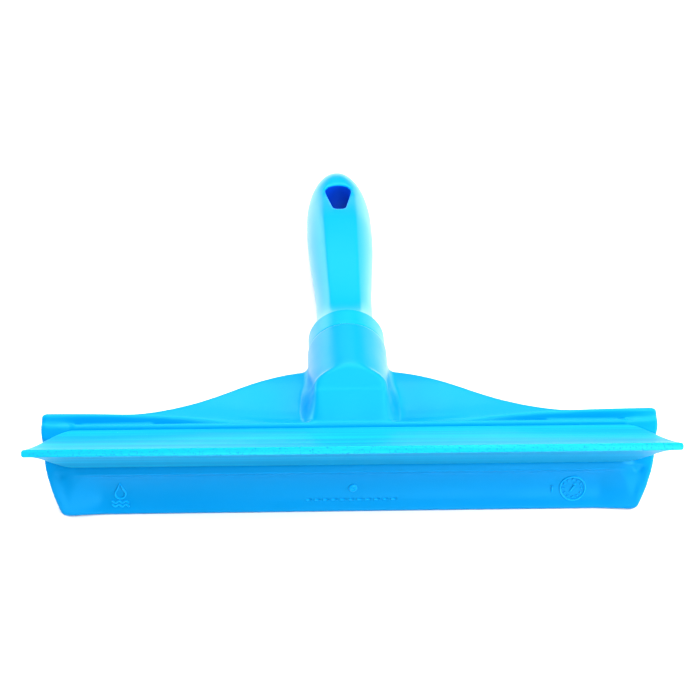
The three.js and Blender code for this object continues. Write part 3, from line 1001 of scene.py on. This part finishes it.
@dataclass
class Blade:
    """Soft blade: one strip, thick at the rail, with a cut wiping edge.

    Attributes:
        axes: the tool's axes.
        line: where the blade stands.
        half_length: half length of the wiping edge.
        end_flare: how much shorter each end is at the rail.
        taper_power: how quickly the blade thins away from the rail.
        flare_power: how quickly its ends spread away from the rail.
        top_step: how far the upper side is drawn in at the rail.
        under_step: how far the lower side is drawn in at the rail.
        rail_gap: where the strip starts, in front of the rail's face.
        edge: rounding of the wiping edge's corners.
        end_edge: rounding of the strip's ends.
        flank_steps: points along each side of the section.
        stations: sections along the strip.
        bend_from: place along the blade of a start point that is worked out but not used.
        bend_to: place along the blade of an end point that is worked out but not used.
    """

    axes: ToolAxes
    line: BladeLine
    half_length: float = 122.5
    end_flare: float = 16.5
    taper_power: float = 1.9
    flare_power: float = 0.5
    top_step: float = 0.8
    under_step: float = 0.6
    rail_gap: float = 0.3
    edge: float = 0.35
    end_edge: float = 0.8
    flank_steps: int = 26
    stations: int = 150
    bend_from: float = 7.0
    bend_to: float = 17.0

    def half_thickness(self, s: Array) -> Array:
        """Half thickness at s along the blade."""
        left = np.clip(1.0 - s / self.line.reach, 0.0, 1.0)
        return mix(self.line.lip, self.line.root, left**self.taper_power) / 2

    def half_length_at(self, s: Array) -> Array:
        """Half length of the strip at s along the blade."""
        return self.half_length - self.end_flare * (1.0 - (s / self.line.reach) ** self.flare_power)

    def lowered(self, s: Array, t: Array) -> Array:
        """Heights with both sides drawn in a little from the rail's edges."""
        share = np.clip(1.0 - s / self.line.reach, 0.0, 1.0) ** self.taper_power
        side = np.clip(t / self.half_thickness(s), -1.0, 1.0)
        return t - share * np.where(side > 0.0, self.top_step, self.under_step) * side

    def flank(self) -> tuple[Array, Array]:
        """Upper half of the section, from the rail to the middle of the wiping edge.

        Returns:
            Places along the blade, and heights above its middle.
        """
        first = np.array([self.rail_gap])
        s = np.linspace(self.rail_gap + 0.05, self.line.reach - self.edge, self.flank_steps)
        s = np.concatenate([first, s])
        t = self.half_thickness(s)
        angles = np.linspace(math.pi / 2, 0.0, 5)[1:]
        corner_s = self.line.reach - self.edge + self.edge * np.cos(angles)
        corner_t = t[-1] - self.edge + self.edge * np.sin(angles)
        face_t = np.linspace(corner_t[-1], 0.0, 4)[1:]
        face_s = np.full_like(face_t, self.line.reach)
        return np.concatenate([s, corner_s, face_s]), np.concatenate([t, corner_t, face_t])

    def build(self) -> bpy.types.Object:
        """Makes the strip in place of the CAD blade's root and lip."""
        s, t = self.flank()
        rows = np.concatenate([s, s[-2::-1]])
        heights = np.concatenate([t, -t[-2::-1]])
        rounds = np.linspace(0.0, math.pi / 2, 5)
        shares = np.linspace(-1.0, 1.0, self.stations)[1:-1]
        points = [self._column(rows, heights, -1.0, angle) for angle in rounds[::-1]]
        points += [self._column(rows, heights, share, 0.0) for share in shares]
        points += [self._column(rows, heights, 1.0, angle) for angle in rounds]
        count = len(rows)
        faces = []
        for c in range(len(points) - 1):
            for i in range(count):
                j = (i + 1) % count
                a, b = c * count + i, c * count + j
                faces.append((a, a + count, b + count, b))
        last = (len(points) - 1) * count
        for i in range(len(s) - 1):
            j, k = count - 1 - i, count - 2 - i
            if k > i + 1:
                faces.append((i, i + 1, k, j))
                faces.append((last + j, last + k, last + i + 1, last + i))
            else:
                faces.append((i, i + 1, j))
                faces.append((last + j, last + i + 1, last + i))
        made = new_object("blade_strip", self.axes.place(np.concatenate(points)), faces)
        start = self.axes.point(0.0, *self.line.point(self.bend_from, 0.0))
        end = self.axes.point(0.0, *self.line.point(self.bend_to, 0.0))
        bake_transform(made)
        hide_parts("blade_root", "blade_lip")
        rim = len(s) - 7
        for face in made.data.polygons:
            places = [corner % count for corner in face.vertices]
            if min(places) >= rim and max(places) <= count - 1 - rim:
                face.material_index = 1
        return made

    def _column(self, rows: Array, heights: Array, share: float, angle: float) -> Array:
        """Section of the strip at a share of its half length.

        Args:
            rows: places along the blade.
            heights: heights above its middle.
            share: from -1 at one end to 1 at the other.
            angle: how far round the end's rounded edge the section lies.

        Returns:
            The section's points in tool millimetres.
        """
        inset = self.end_edge * (1.0 - math.cos(angle))
        back = self.end_edge * (1.0 - math.sin(angle)) if abs(share) == 1.0 else 0.0
        x = share * (self.half_length_at(rows) - back)
        t = np.sign(heights) * np.maximum(np.abs(heights) - inset, 0.15 * np.abs(heights))
        t = self.lowered(rows, t)
        y = self.line.rail_y + rows * self.line.out[0] + t * self.line.top[0]
        z = self.line.rail_z + rows * self.line.out[1] + t * self.line.top[1]
        return np.stack([x, y, z], axis=1)


# ---- collar and handle ---------------------------------------------------------------


@dataclass
class Collar:
    """Turned ring between the socket and the handle.

    Attributes:
        axes: the tool's axes.
        start: tool Y of its lower face.
        length: length of the ring.
        radius: outer radius.
        inner: radius of its bore.
        edge: rounding of its outer edges.
        steps: points round the ring.
    """

    axes: ToolAxes
    start: float = 73.3
    length: float = 10.0
    radius: float = 15.5
    inner: float = 9.3
    edge: float = 0.6
    steps: int = 128

    def build(self) -> bpy.types.Object:
        """Makes the ring and hangs it on the collar's body."""
        profile = self._profile()
        angles = np.linspace(0.0, 2.0 * math.pi, self.steps, endpoint=False)
        points = np.array([
            (r * math.cos(a), y, r * math.sin(a)) for a in angles for r, y in profile
        ])
        count = len(profile)
        faces = []
        for k in range(self.steps):
            for i in range(count):
                j = (i + 1) % count
                a, b = k * count, ((k + 1) % self.steps) * count
                faces.append((a + i, b + i, b + j, a + j))
        made = new_object("collar_band", self.axes.place(points), faces)
        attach(made, "collar")
        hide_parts("collar_ring")
        return made

    def _profile(self) -> list[tuple[float, float]]:
        """Closed section of the ring as (radius, tool Y)."""
        end = self.start + self.length
        section = [(self.inner, self.start), (self.inner, end)]
        for a in np.linspace(math.pi / 2, 0.0, 6):
            section.append((
                self.radius - self.edge + self.edge * math.cos(a),
                end - self.edge + self.edge * math.sin(a),
            ))
        for share in np.linspace(0.1, 0.9, 9):
            section.append((self.radius, mix(end - self.edge, self.start + self.edge, share)))
        for a in np.linspace(0.0, -math.pi / 2, 6):
            section.append((
                self.radius - self.edge + self.edge * math.cos(a),
                self.start + self.edge + self.edge * math.sin(a),
            ))
        return section


@dataclass
class Handle:
    """Short handle: grip with flat strips, hanging hole and threaded spigot.

    Attributes:
        axes: the tool's axes.
        start: tool Y where the grip starts.
        length: length of the grip.
        neck_half: half width and half height of the grip's neck.
        belly_half: half width and half height of its belly.
        end_half_height: half height near its end.
        shoulder: radius where it meets the collar.
        flare_length: length over which the shoulder runs out.
        belly_at: where the belly is, from the collar.
        nose_length: length over which the sides close.
        tip_length: length over which the top and bottom close.
        close_power: how bluntly the end closes.
        strip_half: half width of the flat strips at the collar and at the end.
        hole_from_end: hanging hole's wide end, from the grip's end.
        hole_length: length of the hanging hole.
        hole_half: half width of its narrow and its wide end.
        hole_crown: radius of its wide end.
        spigot_radius: radius over the spigot's thread.
        spigot_core: radius of the spigot under it.
        spigot_tip: tool Y of the spigot's end.
        mouth: tool Y of the socket's mouth.
        thread_lead: lead of the thread.
        wall_from: depth from which the hole's wall takes a darker blue, painted shade.
        step: size of the skin's cells.
    """

    axes: ToolAxes
    start: float = 83.6
    length: float = 126.85
    neck_half: tuple[float, float] = (11.6, 11.2)
    belly_half: tuple[float, float] = (14.4, 13.0)
    end_half_height: float = 9.8
    shoulder: float = 14.4
    flare_length: float = 17.0
    belly_at: float = 76.0
    nose_length: float = 44.0
    tip_length: float = 20.0
    close_power: float = 2.3
    strip_half: tuple[float, float] = (5.9, 7.4)
    hole_from_end: float = 19.35
    hole_length: float = 23.5
    hole_half: tuple[float, float] = (2.6, 5.8)
    hole_crown: float = 7.6
    spigot_radius: float = 10.2
    spigot_core: float = 9.0
    spigot_tip: float = 47.5
    mouth: float = 73.0
    thread_lead: float = 5.0
    wall_from: float = 0.9
    step: float = 0.6

    def halves(self, u: Array) -> tuple[Array, Array]:
        """Half width and half height of the open grip, u from the collar."""
        flare = (1.0 - np.clip(u / self.flare_length, 0.0, 1.0)) ** 2.4
        swell = ramp(u, self.flare_length, self.belly_at)
        thin = ramp(u, self.belly_at, self.length - self.tip_length)
        width = mix(self.neck_half[0], self.belly_half[0], swell)
        height = mix(mix(self.neck_half[1], self.belly_half[1], swell), self.end_half_height, thin)
        return mix(width, self.shoulder, flare), mix(height, self.shoulder, flare)

    def grip_field(self, x: Array, y: Array, z: Array) -> Array:
        """Oval grip with its flat upper and lower strips."""
        u = y - self.start
        width, height = self.halves(u)
        nose = np.clip((u - self.length + self.nose_length) / self.nose_length, 0.0, 1.5)
        tip = np.clip((u - self.length + self.tip_length) / self.tip_length, 0.0, 0.995)
        open_nose = np.maximum(1.0 - np.minimum(nose, 0.998) ** self.close_power, 1e-4)
        tall = height * np.sqrt((1.0 - tip**self.close_power) / open_nose)
        tall = np.minimum(tall, height * 1.45)
        level = (x / width) ** 2 + (z / tall) ** 2 + nose**self.close_power - 1.0
        along = self.close_power * nose ** (self.close_power - 1.0) / self.nose_length
        slope = np.sqrt((2 * x / width**2) ** 2 + (2 * z / tall**2) ** 2 + along**2)
        body = level / np.maximum(slope, 0.05)
        half = mix(self.strip_half[0], self.strip_half[1], u / self.length)
        closed = width * np.sqrt(open_nose)
        share = np.clip(half / np.maximum(closed, half), 0.0, 0.8)
        fade = np.where(z > 0.0, ramp(u, self.length - 6.0, self.length - 30.0), 1.0)
        flat = tall * np.sqrt(open_nose) * np.sqrt(1.0 - (share * fade) ** 2)
        grip = cut(body, np.abs(z) - flat, 0.3)
        return round_box([grip, -u], 0.4)

    def hole_field(self, x: Array, y: Array, z: Array) -> Array:
        """Hanging hole, a wedge with a rounded wide end."""
        top = self.start + self.length - self.hole_from_end
        low = top - self.hole_length
        wide_at = top - 5.5
        lean = (self.hole_half[1] - self.hole_half[0]) / (wide_at - low)
        side = (np.abs(x) - self.hole_half[0] - (y - low) * lean) / math.hypot(1.0, lean)
        crown = np.hypot(x, np.maximum(y - (top - self.hole_crown), 0.0)) - self.hole_crown
        return cut(cut(side, low - y, 2.2), crown, 1.6)

    def spigot_field(self, x: Array, y: Array, z: Array) -> Array:
        """Spigot with its raised thread."""
        turn = np.arctan2(z, x) / (2.0 * math.pi)
        wave = 0.5 + 0.5 * np.cos(2.0 * math.pi * (y / self.thread_lead + turn))
        threaded = ramp(y, self.mouth - 0.5, self.mouth - 3.0)
        threaded = threaded * ramp(y, self.spigot_tip, self.spigot_tip + 3.0)
        depth = self.spigot_radius - self.spigot_core
        radius = self.spigot_core + depth * ramp(wave, 0.3, 0.8) * threaded
        barrel = np.hypot(x, z) - radius
        return round_box([barrel * 0.9, self.spigot_tip - y, y - self.start - 4.0], 0.8)

    def field_at(self, x: Array, y: Array, z: Array) -> Array:
        """Distance field of the whole handle."""
        grip = cut(self.grip_field(x, y, z), -self.hole_field(x, y, z), 0.8)
        return np.minimum(grip, self.spigot_field(x, y, z))

    def build(self) -> bpy.types.Object:
        """Makes the handle's skin and puts it in the CAD handle's place."""
        skin = Skin(
            (-16.5, self.spigot_tip - 2.0, -16.5),
            (16.5, self.start + self.length + 2.0, 16.5),
            self.step,
        )
        points, faces = skin.build(self.field_at)
        made = new_object("grip_handle", self.axes.place(points), faces)
        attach(made, "handle")
        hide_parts("mini_handle")
        # faces lining the hanging hole take the darker blue: painted shade inside the hole
        middles = points[faces].mean(axis=1)
        hole_shade_faces = self.grip_field(*middles.T) < -self.wall_from
        made.data.polygons.foreach_set("material_index", hole_shade_faces.astype(np.int32))
        return made


# ---- studio --------------------------------------------------------------------------


@dataclass(frozen=True)
class SoftBox:
    """One square soft box that faces the tool.

    Attributes:
        name: the light's name.
        place: where it stands, in metres.
        size: length of its side.
        power: its power in watts.
    """

    name: str
    place: tuple[float, float, float]
    size: float
    power: float

    def build(self) -> None:
        """Adds the light."""
        data = bpy.data.lights.new(self.name, "AREA")
        data.size = self.size
        data.energy = self.power
        made = bpy.data.objects.new(self.name, data)
        made.location = self.place
        made.rotation_euler = (-Vector(self.place)).to_track_quat("-Z", "Y").to_euler()
        bpy.context.scene.collection.objects.link(made)


SOFT_BOXES = (
    SoftBox("rear_box", (0.0, 0.8, 1.0), 0.7, 6.8),
    SoftBox("rear_left_box", (-0.6, 0.8, 0.2), 0.4, 2.2),
    SoftBox("rear_right_box", (0.6, 0.8, 0.2), 0.4, 0.8),
    SoftBox("top_box", (0.0, 0.1, 0.9), 0.6, 11.0),
    SoftBox("right_box", (0.9, 0.1, 0.6), 0.6, 9.5),
    SoftBox("left_box", (-0.9, 0.1, 0.5), 0.4, 10.3),
    SoftBox("front_box", (0.0, -0.6, 0.9), 0.4, 5.2),
    SoftBox("front_key", (0.45, -0.35, 0.9), 0.4, 8.5),
    SoftBox("front_right_box", (0.8, -0.7, 0.4), 0.4, 8.7),
    SoftBox("front_low_box", (0.2, -1.0, 0.25), 0.4, 3.6),
)


@dataclass(frozen=True)
class Studio:
    """Pale floor, soft light and the camera.

    Attributes:
        axes: the tool's axes.
        azimuth: how far the view turns to the right of the handle, in degrees.
        elevation: how far the view looks down, in degrees.
        roll: how far the camera is rolled, in degrees.
        distance: from the camera to the place it looks at, in millimetres.
        lens: focal length, in millimetres.
        sensor: width of the sensor, in millimetres.
        aim_right: place it looks at, to the right in its view, in millimetres.
        aim_up: the same, upwards in its view.
        aim_along: tool Y of that place before both shifts.
        floor_half: half size of the floor, in metres.
        floor_grey: floor's colour.
        floor_rough: floor's roughness.
        surround: strength of the even surround.
        boxes: the soft boxes.
    """

    axes: ToolAxes
    azimuth: float = 2.916
    elevation: float = 36.23
    roll: float = 1.204
    distance: float = 721.2
    lens: float = 92.916
    sensor: float = 36.0
    aim_right: float = 0.49
    aim_up: float = 9.62
    aim_along: float = 60.0
    floor_half: float = 6.0
    floor_grey: float = 0.72
    floor_rough: float = 0.7
    surround: float = 0.1
    boxes: tuple[SoftBox, ...] = SOFT_BOXES

    def camera(self) -> None:
        """Camera in front of the blade, looking down on the tool."""
        az, el, ro = (math.radians(v) for v in (self.azimuth, self.elevation, self.roll))
        ahead = np.array([math.sin(az) * math.cos(el), math.cos(az) * math.cos(el), -math.sin(el)])
        right = np.cross(ahead, [0.0, 0.0, 1.0])
        right /= np.linalg.norm(right)
        up = np.cross(right, ahead)
        aim = np.array([0.0, self.aim_along, 0.0]) + right * self.aim_right + up * self.aim_up
        spot = aim - ahead * self.distance
        turned = right * math.cos(ro) + up * math.sin(ro)
        raised = up * math.cos(ro) - right * math.sin(ro)
        rows = np.stack([turned, raised, -ahead])
        placed = self.axes.place(rows) - np.array(self.axes.origin)
        data = bpy.data.cameras.new("camera")
        data.sensor_width = self.sensor
        data.lens = self.lens
        data.clip_start = 0.01
        made = bpy.data.objects.new("camera", data)
        bpy.context.scene.collection.objects.link(made)
        turn = Matrix((placed / MM).T.tolist()).to_4x4()
        made.matrix_world = Matrix.Translation(self.axes.point(*spot)) @ turn
        bpy.context.scene.camera = made

    def floor(self) -> None:
        """Pale floor under the tool."""
        half = self.floor_half
        corners = [(-half, -half, 0.0), (half, -half, 0.0), (half, half, 0.0), (-half, half, 0.0)]
        made = new_object("floor", np.array(corners), [(0, 1, 2, 3)])
        material = bpy.data.materials.new("pale_floor")
        material.use_nodes = True
        shader = material.node_tree.nodes["Principled BSDF"]
        grey = self.floor_grey
        shader.inputs["Base Color"].default_value = (grey, grey, grey, 1.0)
        shader.inputs["Roughness"].default_value = self.floor_rough
        made.data.materials.append(material)

    def light(self) -> None:
        """Soft boxes above and to the sides, and an even surround."""
        world = bpy.data.worlds.new("surround")
        world.use_nodes = True
        back = world.node_tree.nodes["Background"]
        back.inputs["Color"].default_value = (1.0, 1.0, 1.0, 1.0)
        back.inputs["Strength"].default_value = self.surround
        bpy.context.scene.world = world
        for box in self.boxes:
            box.build()
        bpy.context.scene.view_settings.view_transform = "Standard"


def main() -> None:
    """Builds the studio and the pieces in order."""
    logging.basicConfig(level=logging.INFO, format="%(name)s: %(message)s")
    axes = ToolAxes.from_frame(Handle.start)
    line = BladeLine()
    studio = Studio(axes)
    studio.camera()
    studio.floor()
    studio.light()
    head_blue, mark_painted_highlight, collar_blue, grip_blue, painted_hole_shade = (p.material() for p in PLASTICS)
    blade_blue, blade_cut = (r.material() for r in RUBBERS)
    head = Head(axes, line)
    pieces = (
        (head, [head_blue]),
        # the marks' lighter blue is a painted highlight
        (Marks(head), [mark_painted_highlight]),
        (Blade(axes, line), [blade_blue, blade_cut]),
        (Collar(axes), [collar_blue]),
        (Handle(axes), [grip_blue, painted_hole_shade]),
    )
    for part, materials in pieces:
        made = part.build()
        for material in materials:
            made.data.materials.append(material)
        LOG.info("%s: %d points", made.name, len(made.data.vertices))


if __name__ == "__main__":
    main()
